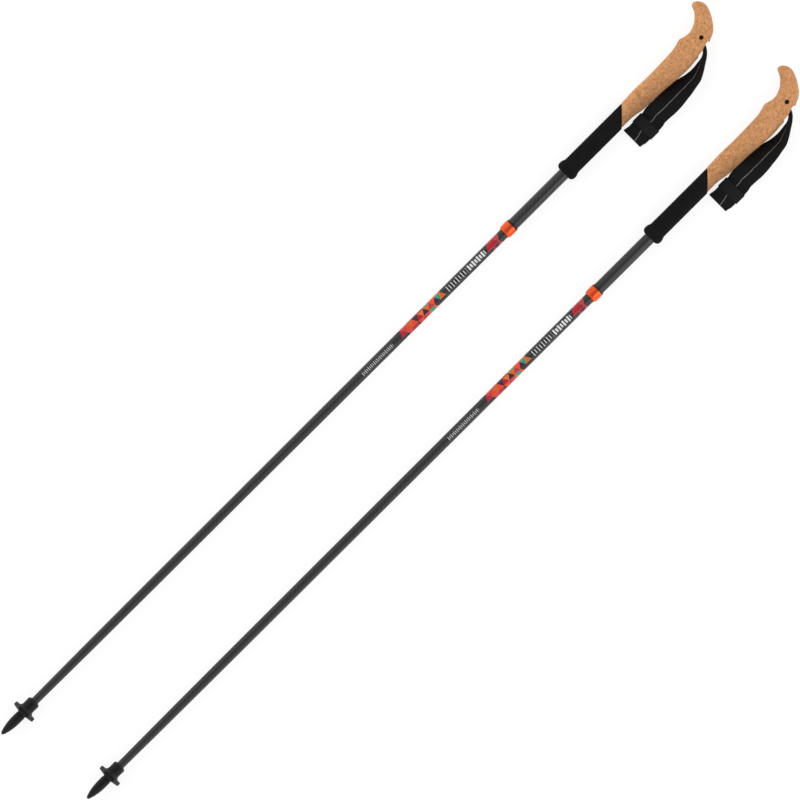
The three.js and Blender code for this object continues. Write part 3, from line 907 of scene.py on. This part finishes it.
def lock_stud():
    """A plug and flange on the lower tube's end, and a threaded stud."""
    start, end, flange_r = span("lock_stud")
    plug_r = 5.8
    flange, face = start + 18.3, start + 21.3
    profile = [(start, 0, 0), (start, plug_r, 0.6), (flange, plug_r, 0.1), (flange, flange_r, 0.2),
               (face, flange_r, 0.4), (face, STUD_R, 0.3)]
    turn = face + THREAD_PITCH
    while turn < end - THREAD_PITCH:
        profile += [(turn, STUD_R, 0.05), (turn + 0.45, STUD_R - THREAD_DEPTH, 0.1),
                    (turn + 0.9, STUD_R, 0.05)]
        turn += THREAD_PITCH
    profile += [(end, STUD_R, 0.6), (end, 0, 0)]
    return turned(profile, 48)


def cone_nut():
    start, end, radius = span("cone_nut")
    profile = [(start, STUD_BORE, 0.3), (start, 3.49, 0.4), (end - 5, radius, 0.4),
               (end, radius, 0.6), (end, STUD_BORE, 0.3)]
    return turned(profile)


def expander_sleeve():
    """A split sleeve with shallow gripping grooves round it and a cone-shaped mouth."""
    start, end, radius = span("expander_sleeve")
    profile = [(start, STUD_BORE, 0.2), (start, radius, 0.6)]
    for k in range(6):
        groove = start + 5 + 4 * k
        profile += [(groove, radius, 0.2), (groove + 0.3, radius - 0.4, 0.1),
                    (groove + 1.1, radius - 0.4, 0.1), (groove + 1.4, radius, 0.2)]
    profile += [(end, radius, 0.5), (end, 5.5, 0.2), (end - 20, 3.6, 0.2), (end - 20, STUD_BORE, 0)]
    half = 0.6
    rows = np.array([[(x, -half, 0), (x, half, 0), (x, half, 12), (x, -half, 12)]
                     for x in (start - 5, end + 5)])
    return cut(turned(profile), [block(rows)])


def top_plug():
    start, end, radius = span("top_plug")
    inner = radius - 1.0
    head = end - 2.3
    profile = [(start, 0, 0), (start, inner, 1.2), (start + 5, inner, 0.2),
               (start + 5.4, inner - 0.4, 0.2), (start + 6.4, inner - 0.4, 0.2),
               (start + 6.8, inner, 0.2), (head, inner, 0.1), (head, radius, 0.2),
               (end, radius, 0.8), (end, 0, 0)]
    return turned(profile)


def grip_core():
    """The moulded core that the cork is formed on, with its slot and pin hole."""
    start, end, radius = span("grip_core")
    socket = TUBE_SOCKET_R
    seat = span("top_plug")[1] + 0.3
    profile = [(seat, 0, 0), (seat, socket, 0.2), (start, socket, 0.3), (start, radius, 0.5),
               (end, radius, 0.8), (end, 0, 0)]
    return cut(turned(profile), [strap_slot(), pin_hole()])


# ---- grip -------------------------------------------------------------------

SEAM_ALONG = 1137.8
SEAM_SLOPE = 0.98
SEAM_GAP = 0.2


def foam_sleeve():
    start, _, flare = span("foam_sleeve")
    radius = 11.93
    bore = TUBE_SOCKET_R
    straight = start + 50
    profile = [
        (start, bore, 0.4), (start, 9.4, 0.8), (start + 1.1, 11.8, 1.0), (start + 2.4, 13, 1.0),
        (start + 4, 13.75, 1.4), (start + 6.6, flare, 1.4), (start + 8.6, 13.95, 1.4),
        (start + 11, 13.3, 1.6), (start + 13, 12.4, 1.6), (start + 15.5, radius, 2),
        (straight, radius, 0), (SEAM_ALONG, radius, 0.7), (SEAM_ALONG, bore, 0.3),
    ]

    def slant(along, radius, angle):
        y = -radius * np.sin(angle)
        share = np.clip((along - straight) / (SEAM_ALONG - straight), 0, 1)
        return along + share * (SEAM_SLOPE * y - SEAM_GAP), radius

    return turned(profile, reach=slant)


# The cork grip's outline as pairs of points that face each other across the grip:
# (hook side along, y, palm side along, y, half thickness).
GRIP_SECTIONS = [
    (1110, 11.9, 1110, -10.6, 11.8), (1130, 12, 1130, -10.7, 11.9),
    (1148, 12.3, 1148, -11.2, 12.1), (1162, 12.8, 1162, -13.5, 12.5),
    (1176, 13.2, 1176, -14.2, 12.8), (1198, 12.6, 1198, -14.9, 13.3),
    (1211, 12.7, 1211, -15.9, 13.7), (1224, 13, 1224, -17.1, 14),
    (1235, 13.4, 1235, -17.8, 14.1), (1245, 14, 1245, -17.8, 14.1),
    (1254, 16, 1253, -17, 14), (1260.6, 17.8, 1260, -16.6, 13.9),
    (1267, 16.1, 1267, -16.8, 13.6), (1273, 14.8, 1273, -15.9, 13.4),
    (1278.5, 15, 1279, -13.6, 13.3), (1282.5, 16.1, 1283, -12.6, 13.2),
    (1286, 17.4, 1286.6, -12.4, 13.1), (1289.8, 19.5, 1291.4, -10.2, 13),
    (1293, 21.9, 1297.6, -7.4, 12.7), (1295.7, 24.2, 1302.8, -3.5, 12.3),
    (1298, 26.6, 1307.3, 2.2, 11.9), (1299.8, 28.9, 1311.6, 8.6, 11.3),
    (1301.2, 31.4, 1314.9, 15.2, 10.6), (1302.2, 33.8, 1316.9, 20.6, 9.7),
    (1303.2, 36, 1317.9, 25.4, 8.6), (1304.3, 37.8, 1317.1, 30, 7),
    (1305.8, 38.9, 1315.2, 33.8, 5), (1307.4, 39.3, 1312.6, 36.9, 2.6),
    (1308.8, 39.1, 1310.6, 38.2, 0.8),
]
GRIP_STEPS = 8
GRIP_SIDES = 80
GRIP_SQUARENESS = 2 / 2.2


def grip_skin():
    """The grip's outer skin, from its seam with the foam round to the end of the hooked head."""
    table = [(order, *row) for order, row in enumerate(GRIP_SECTIONS)]
    orders = np.linspace(0, len(table) - 1, (len(table) - 1) * GRIP_STEPS + 1)
    angles = np.linspace(-math.pi, math.pi, GRIP_SIDES, endpoint=False)
    across, upward = (np.sign(wave) * np.abs(wave) ** GRIP_SQUARENESS
                      for wave in (np.sin(angles), np.cos(angles)))
    rows = []
    for order in orders:
        row = smooth_row(table, order)
        hook, palm, half = row[1:3], row[3:5], row[5]
        flat = (hook + palm) / 2 - across[:, None] * (hook - palm) / 2
        rows.append(np.column_stack([flat, upward * half]))
    return np.array(rows)


def cork_grip():
    rows = grip_skin()
    first, last = (np.repeat(row.mean(0)[None, None], GRIP_SIDES, 1) for row in rows[[0, -1]])
    rows = np.concatenate([first, rows, last])
    body = clean(make_mesh(rows, np.zeros(len(rows) + 1), np.zeros(GRIP_SIDES + 1), False))
    bore = cylinder(1090, span("grip_core")[1] + 0.3, 9.6, 64)
    return map_flat(cut(body, [seam_block(), bore, strap_slot(), pin_hole()]))


def map_flat(mesh):
    """Gives a mesh surface coordinates straight from its shape: along the pole and to the side."""
    layer = mesh.uv_layers.get("surface") or mesh.uv_layers.new(name="surface")
    points = np.zeros(len(mesh.vertices) * 3, np.float32)
    mesh.vertices.foreach_get("co", points)
    corners = np.zeros(len(mesh.loops), np.int32)
    mesh.loops.foreach_get("vertex_index", corners)
    layer.data.foreach_set("uv", points.reshape(-1, 3)[corners, :2].ravel())
    return mesh


def seam_block():
    """A block that takes away everything on the foam's side of the seam."""
    near, far, half = 1080.0, SEAM_ALONG + SEAM_GAP, 60.0
    rows = np.array([[(x + SEAM_SLOPE * y, y, z) for y, z in (
        (-half, -half), (half, -half), (half, half), (-half, half))] for x in (near, far)])
    return block(rows)


def block(rows):
    """A closed prism between two outlines that have the same number of points."""
    sides = rows.shape[1]
    faces = [(j, (j + 1) % sides, sides + (j + 1) % sides, sides + j) for j in range(sides)]
    faces += [tuple(range(sides)), tuple(range(sides, 2 * sides))]
    mesh = bpy.data.meshes.new("mesh")
    mesh.from_pydata(rows.reshape(-1, 3) * MM, [], faces)
    return clean(mesh)


def arc(centre, radius, angles):
    return [(centre.x + radius * math.cos(a), centre.y + radius * math.sin(a)) for a in angles]


def upright(outline, half):
    """A closed prism with a flat outline that reaches as far above the axis as below it."""
    return block(np.array([[(x, y, z) for x, y in outline] for z in (-half, half)]))


SLOT_HALF = 7.6
SLOT_HUB_R = 5.6
SLOT_ANGLES = (-2.5, -1.2)
SLOT_REACH = 40
PIN_HOLE_R = 3.1
PIN_HOLE_REACH = 20


def pin_place():
    low, high = local_box("strap_pin")
    return (low + high) / 2


def strap_slot():
    """The fan-shaped space that the strap's stem has about its pin."""
    pin = pin_place()
    first, last = SLOT_ANGLES
    outline = arc(pin, SLOT_REACH, np.linspace(first, last, 8))
    outline += arc(pin, SLOT_HUB_R, np.linspace(last, first + 2 * math.pi, 28))
    return upright(outline, SLOT_HALF)


def pin_hole():
    """The hole for the strap pin, right through the head."""
    angles = np.linspace(0, 2 * math.pi, 40, endpoint=False)
    return upright(arc(pin_place(), PIN_HOLE_R, angles), PIN_HOLE_REACH)


def strap_pin():
    """A round pin with domed ends that each have a small hollow."""
    low, high = local_box("strap_pin")
    radius = (high.x - low.x) / 2
    half = (high.z - low.z) / 2
    profile = [(half - 0.7, 0, 0), (half - 0.7, 1.0, 0.3), (half, 1.4, 0.3), (half, radius, 0.6)]
    profile += [(-along, r, fillet) for along, r, fillet in reversed(profile)]
    mesh = turned(profile[::-1], 48)
    centre = pin_place()
    mesh.transform(Matrix.Translation(centre * MM) @ Matrix.Rotation(-math.pi / 2, 4, "Y"))
    return mesh


# ---- strap ------------------------------------------------------------------

WEBBING_THICKNESS = 1.7
WEBBING_EDGE = 0.55
PIN_WRAP_R = 4.0
# How the two legs part round the pin: by how much, how far from its centre, over what length.
PIN_SPREAD = (2.3, 2.4, 1.9)

# The webbing's middle line from the pin to its far fold: (order along the path, along, y, z,
# width, twist from upright in degrees, gap between the two legs).
STRAP_PATH = [
    (0, 1282.7, -0.8, 0, 14, 0, 0), (1, 1276.2, -14.0, 0, 14, 7, 0),
    (2, 1268.3, -21.2, -0.2, 16, 12, 0), (3, 1257.0, -25.8, -0.9, 22.5, 22.5, 0),
    (4, 1248.9, -28.6, -0.9, 27, 28.5, 0), (5, 1241.0, -30.4, -0.6, 30, 35, 0.2),
    (6, 1233.0, -30.8, -0.9, 31.6, 39, 0.3), (7, 1222.0, -30.5, -2.3, 31.6, 52.5, 0.9),
    (8, 1213.0, -30.5, -3.2, 31.6, 58, 1.8), (9, 1202.0, -30.6, -4.6, 31.6, 68, 3.8),
    (10, 1193.0, -30.5, -6.0, 31.6, 76, 5.2), (11, 1184.0, -30.3, -8.6, 31.6, 89, 7.4),
    (12, 1170.5, -30.0, -9.3, 31.6, 90, 6.2), (13, 1162.5, -31.6, -11.4, 31.6, 90, 0.2),
    (14, 1142.0, -31.6, -11.4, 31.6, 90, 0.2), (15, 1128.6, -31.6, -11.4, 30.8, 90, 0.2),
]
# How far the tail's middle and the woven grey line stray across the webbing: (order, distance).
TAIL_SHIFT = [(14.45, 0.0), (14.7, -0.8), (15, -1.5)]
LINE_DRIFT = [(2, 0.0), (5, 2.2), (9, 2.4), (12, 0.8), (14, 0.0), (15, 4.4)]
STRAP_STEPS = 8
UP = Vector((0, 0, 1))


def strap_frame(order):
    """The strap's middle point, its directions across and out of its face, width and gap."""
    _, x, y, z, width, twist, gap = smooth_row(STRAP_PATH, order)
    step = 0.05
    back = smooth_row(STRAP_PATH, max(0, order - step))
    on = smooth_row(STRAP_PATH, min(len(STRAP_PATH) - 1, order + step))
    run = Vector((on[1] - back[1], on[2] - back[2], 0)).normalized()
    angle = math.radians(twist)
    across = UP * math.cos(angle) + UP.cross(run) * math.sin(angle)
    return Vector((x, y, z)), across, across.cross(run), run, width, gap


def strap_stations():
    """Stations round the whole loop: (middle point, across, face normal, width, drift)."""
    last = len(STRAP_PATH) - 1
    pin = pin_place().xy.to_3d()
    half = WEBBING_THICKNESS / 2
    most, middle, length = PIN_SPREAD
    legs = {1: [], -1: []}
    for order in np.linspace(0.24, last, last * STRAP_STEPS):
        centre, across, face, run, width, gap = strap_frame(order)
        centre = centre + across * float(np.interp(order, *zip(*TAIL_SHIFT)))
        from_pin = (centre.xy - pin.xy).length
        spread = most * math.exp(-((from_pin - middle) / length) ** 2)
        drift = float(np.interp(order, *zip(*LINE_DRIFT)))
        out = gap / 2 + half + spread
        for side, leg in legs.items():
            leg.append((centre + face * side * out, across, face * side, width, drift))
    centre, across, face, run, width, gap = strap_frame(last)
    centre = centre + across * TAIL_SHIFT[-1][1]
    fold = []
    for k in range(1, 8):
        turn = math.pi * k / 8
        away = face * math.cos(turn) + run * math.sin(turn)
        fold.append((centre + away * (gap / 2 + half), across, away, width, drift))
    _, _, face, run, width, _ = strap_frame(0)
    wrap = []
    for turn in np.linspace(math.radians(-42), math.radians(-318), 22):
        away = run * math.cos(turn) + face * math.sin(turn)
        wrap.append((pin + away * PIN_WRAP_R, UP, away, width, 0.0))
    return legs[1] + fold + legs[-1][::-1] + wrap


def webbing_section(width):
    """The webbing's cross-section, flat with round edges: rows of (across, out of the face)."""
    half, thick, edge = width / 2, WEBBING_THICKNESS / 2, WEBBING_EDGE
    points = []
    flat = 9
    for side in (1, -1):
        for k in range(flat):
            points.append((side * (half - edge) * (1 - 2 * (k + 0.5) / flat), side * thick))
        for k in range(6):
            turn = math.pi * (k + 0.5) / 6
            points.append((-side * (half - edge + edge * math.sin(turn)),
                           side * thick * math.cos(turn)))
    return np.array(points)


def wrist_strap():
    stations = strap_stations()
    rows, across_uv = [], []
    for centre, across, away, width, drift in stations:
        section = webbing_section(width)
        rows.append([centre + across * a + away * f for a, f in section])
        across_uv.append(section[:, 0] - drift)
    rows = np.array([[tuple(p) for p in row] for row in rows])
    middles = np.array([tuple(station[0]) for station in stations])
    return clean(make_mesh(rows, lengths(middles), np.array(across_uv), True))


CORNER_STEPS = 7


def rounded_rectangle(half_width, half_height, radius):
    points = []
    for quarter in range(4):
        cx = (half_width - radius) * (1 if quarter in (0, 3) else -1)
        cy = (half_height - radius) * (1 if quarter in (0, 1) else -1)
        for k in range(CORNER_STEPS + 1):
            turn = math.pi / 2 * (quarter + k / CORNER_STEPS)
            points.append((cx + radius * math.cos(turn), cy + radius * math.sin(turn)))
    return np.array(points)


def strap_keeper():
    """A flat band round both legs of the strap, with rolled edges."""
    low, high = local_box("strap_keeper")
    centre = (low + high) / 2
    half_width, half_height = (high.y - low.y) / 2, (high.z - low.z) / 2
    wall = 0.9
    edge = 0.35
    stations = [(low.x, -edge), (low.x + 0.1, -0.1), (low.x + edge, 0)]
    stations += [(low.x + edge + (high.x - low.x - 2 * edge) * k / 12, 0) for k in range(1, 12)]
    stations += [(high.x - edge, 0), (high.x - 0.1, -0.1), (high.x, -edge)]
    rings = [(x, half_width + grow, half_height + grow, 2.3) for x, grow in stations]
    rings += [(x, half_width - wall, half_height - wall, 1.5) for x, _ in reversed(stations)]
    rows = np.array([[(x, centre.y + y, centre.z + z) for y, z in rounded_rectangle(*size)]
                     for x, *size in rings])
    return clean(make_mesh(rows, lengths(rows[:, 0]), lengths(rows[0]), True))


# ---- assembly ---------------------------------------------------------------

add_camera()
add_world()
add_floor()
add_panels()

for make in (lower_tube, tip_ferrule, carbide_tip, basket, upper_tube, end_collar, foam_sleeve,
             cork_grip, strap_pin, wrist_strap, strap_keeper, guide_bush, stop_ring, lock_stud,
             cone_nut, expander_sleeve, top_plug, grip_core):
    place(make.__name__, make())

for name, node in frame["nodes"].items():
    node.data.materials.clear()
    node.data.materials.append(MATERIALS[SLOT_OF[name]])
